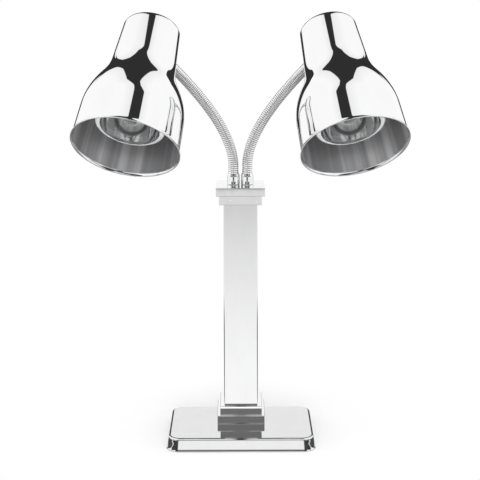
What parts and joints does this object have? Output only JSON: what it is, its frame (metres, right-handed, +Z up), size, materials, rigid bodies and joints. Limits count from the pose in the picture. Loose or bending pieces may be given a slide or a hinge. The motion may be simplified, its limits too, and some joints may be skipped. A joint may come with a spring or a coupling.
{
  "type": "heat lamp warmer",
  "caption": "Free-standing food warmer: weighted rectangular base, square column with stepped ends, and twin goosenecks carrying bell-shaped polished shades with reflector heat lamps.",
  "frame": {"origin": "on the table plane, under the centre of the column, on the underside of the rubber base sheet", "axes": "+Z up, -Y to the front where the shades open, +X to the right-hand shade"},
  "size_m": [0.5594, 0.4991, 0.7762],
  "materials": {
    "polished_steel": "mirror-polished stainless steel",
    "shade_steel": "mirror-polished outside, satin-brushed inside",
    "hose_steel": "bright wound steel hose",
    "plain_steel": "zinc-plated, plain",
    "ballast_iron": "painted steel plate",
    "rubber": "matt black sheet",
    "black_rubber_cord": "smooth black flex and moulding",
    "black_plastic": "black moulded switch",
    "white_plastic": "white moulded terminal strip",
    "brass": "plain turned brass",
    "nickel": "nickel-plated",
    "ceramic": "white glazed porcelain",
    "bulb_glass": "clear front, silvered inside behind it",
    "tungsten": "drawn wire"
  },
  "bodies": {
    "base": {"base_cover": "polished_steel", "base_pad": "rubber", "ballast_plate": "ballast_iron", "plinth_lower_tier": "polished_steel", "plinth_upper_tier": "polished_steel", "cap_lower_tier": "polished_steel", "cap_upper_tier": "polished_steel", "column_tube": "polished_steel", "tie_rod": "plain_steel", "tie_rod_washer": "plain_steel", "tie_rod_bottom_nut": "plain_steel", "tie_rod_top_nut": "plain_steel", "switch_housing": "black_plastic", "terminal_block": "white_plastic", "cord_strain_relief": "black_rubber_cord", "power_cord": "black_rubber_cord", "plug_body": "black_rubber_cord", "plug_pin_left": "nickel", "plug_pin_right": "nickel", "gooseneck_foot_ferrule_left": "polished_steel", "gooseneck_foot_nut_left": "brass", "gooseneck_foot_ferrule_right": "polished_steel", "gooseneck_foot_nut_right": "brass"},
    "switch_rocker_body": {"switch_rocker": "black_plastic"},
    "arm_left_link_1": {"gooseneck_link_1_left": "hose_steel"},
    "arm_left_link_2": {"gooseneck_link_2_left": "hose_steel"},
    "arm_left_link_3": {"gooseneck_link_3_left": "hose_steel"},
    "arm_left_link_4": {"gooseneck_link_4_left": "hose_steel"},
    "arm_left_link_5": {"gooseneck_link_5_left": "hose_steel"},
    "arm_left_link_6": {"gooseneck_link_6_left": "hose_steel"},
    "head_left": {"shade_left": "shade_steel", "lampholder_body_left": "ceramic", "lampholder_shell_left": "brass", "lampholder_contact_left": "brass", "holder_bracket_left": "plain_steel", "holder_screw_a_left": "plain_steel", "holder_screw_b_left": "plain_steel", "gooseneck_end_ferrule_left": "polished_steel", "gooseneck_lock_nut_left": "brass", "bulb_glass_left": "bulb_glass", "bulb_cap_left": "nickel", "bulb_filament_left": "tungsten"},
    "arm_right_link_1": {"gooseneck_link_1_right": "hose_steel"},
    "arm_right_link_2": {"gooseneck_link_2_right": "hose_steel"},
    "arm_right_link_3": {"gooseneck_link_3_right": "hose_steel"},
    "arm_right_link_4": {"gooseneck_link_4_right": "hose_steel"},
    "arm_right_link_5": {"gooseneck_link_5_right": "hose_steel"},
    "arm_right_link_6": {"gooseneck_link_6_right": "hose_steel"},
    "head_right": {"shade_right": "shade_steel", "lampholder_body_right": "ceramic", "lampholder_shell_right": "brass", "lampholder_contact_right": "brass", "holder_bracket_right": "plain_steel", "holder_screw_a_right": "plain_steel", "holder_screw_b_right": "plain_steel", "gooseneck_end_ferrule_right": "polished_steel", "gooseneck_lock_nut_right": "brass", "bulb_glass_right": "bulb_glass", "bulb_cap_right": "nickel", "bulb_filament_right": "tungsten"}
  },
  "joints": [
    {"name": "switch_rock", "type": "hinge", "parent": "base", "child": "switch_rocker_body", "pos_m": [0, 0.0321, 0.112], "axis": [1, 0, 0], "range_deg": [0, 20]},
    {"name": "arm_left_bend", "type": "hinge", "parent": "base", "child": "arm_left_link_1", "pos_m": [-0.0124, 0, 0.5006], "axis": [0.1655, -0.9862, 0], "range_deg": [-7, 8]},
    {"name": "arm_left_sweep", "type": "hinge", "parent": "arm_left_link_1", "child": "arm_left_link_2", "pos_m": [-0.01815, 0.00236, 0.53473], "axis": [0.9506, 0.1595, 0.2664], "range_deg": [-10, 10]},
    {"name": "arm_left_bend_2", "type": "hinge", "parent": "arm_left_link_2", "child": "arm_left_link_3", "pos_m": [-0.03194, 0.00652, 0.56642], "axis": [0.1655, -0.9862, 0], "range_deg": [-7, 8]},
    {"name": "arm_left_sweep_2", "type": "hinge", "parent": "arm_left_link_3", "child": "arm_left_link_4", "pos_m": [-0.05025, 0.00927, 0.59591], "axis": [0.8198, 0.1376, 0.5559], "range_deg": [-10, 10]},
    {"name": "arm_left_bend_3", "type": "hinge", "parent": "arm_left_link_4", "child": "arm_left_link_5", "pos_m": [-0.0711, 0.00807, 0.62377], "axis": [0.1655, -0.9862, 0], "range_deg": [-7, 8]},
    {"name": "arm_left_sweep_3", "type": "hinge", "parent": "arm_left_link_5", "child": "arm_left_link_6", "pos_m": [-0.09265, 0.0002, 0.64989], "axis": [0.7306, 0.1226, 0.6717], "range_deg": [-10, 10]},
    {"name": "arm_left_bend_4", "type": "hinge", "parent": "arm_left_link_6", "child": "head_left", "pos_m": [-0.1122, -0.01675, 0.67302], "axis": [0.1655, -0.9862, 0], "range_deg": [-7, 8]},
    {"name": "arm_right_bend", "type": "hinge", "parent": "base", "child": "arm_right_link_1", "pos_m": [0.0124, 0, 0.5006], "axis": [0.1655, 0.9862, 0], "range_deg": [-7, 8]},
    {"name": "arm_right_sweep", "type": "hinge", "parent": "arm_right_link_1", "child": "arm_right_link_2", "pos_m": [0.01815, 0.00236, 0.53473], "axis": [0.9506, -0.1595, -0.2664], "range_deg": [-10, 10]},
    {"name": "arm_right_bend_2", "type": "hinge", "parent": "arm_right_link_2", "child": "arm_right_link_3", "pos_m": [0.03194, 0.00652, 0.56642], "axis": [0.1655, 0.9862, 0], "range_deg": [-7, 8]},
    {"name": "arm_right_sweep_2", "type": "hinge", "parent": "arm_right_link_3", "child": "arm_right_link_4", "pos_m": [0.05025, 0.00927, 0.59591], "axis": [0.8198, -0.1376, -0.5559], "range_deg": [-10, 10]},
    {"name": "arm_right_bend_3", "type": "hinge", "parent": "arm_right_link_4", "child": "arm_right_link_5", "pos_m": [0.0711, 0.00807, 0.62377], "axis": [0.1655, 0.9862, 0], "range_deg": [-7, 8]},
    {"name": "arm_right_sweep_3", "type": "hinge", "parent": "arm_right_link_5", "child": "arm_right_link_6", "pos_m": [0.09265, 0.0002, 0.64989], "axis": [0.7306, -0.1226, -0.6717], "range_deg": [-10, 10]},
    {"name": "arm_right_bend_4", "type": "hinge", "parent": "arm_right_link_6", "child": "head_right", "pos_m": [0.1122, -0.01675, 0.67302], "axis": [0.1655, 0.9862, 0], "range_deg": [-7, 8]}
  ],
  "couplings": [
    {"joint": "arm_left_bend_2", "follows": "arm_left_bend", "ratio": 1},
    {"joint": "arm_left_sweep_2", "follows": "arm_left_sweep", "ratio": 1},
    {"joint": "arm_left_bend_3", "follows": "arm_left_bend", "ratio": 1},
    {"joint": "arm_left_sweep_3", "follows": "arm_left_sweep", "ratio": 1},
    {"joint": "arm_left_bend_4", "follows": "arm_left_bend", "ratio": 1},
    {"joint": "arm_right_bend_2", "follows": "arm_right_bend", "ratio": 1},
    {"joint": "arm_right_sweep_2", "follows": "arm_right_sweep", "ratio": 1},
    {"joint": "arm_right_bend_3", "follows": "arm_right_bend", "ratio": 1},
    {"joint": "arm_right_sweep_3", "follows": "arm_right_sweep", "ratio": 1},
    {"joint": "arm_right_bend_4", "follows": "arm_right_bend", "ratio": 1}
  ]
}
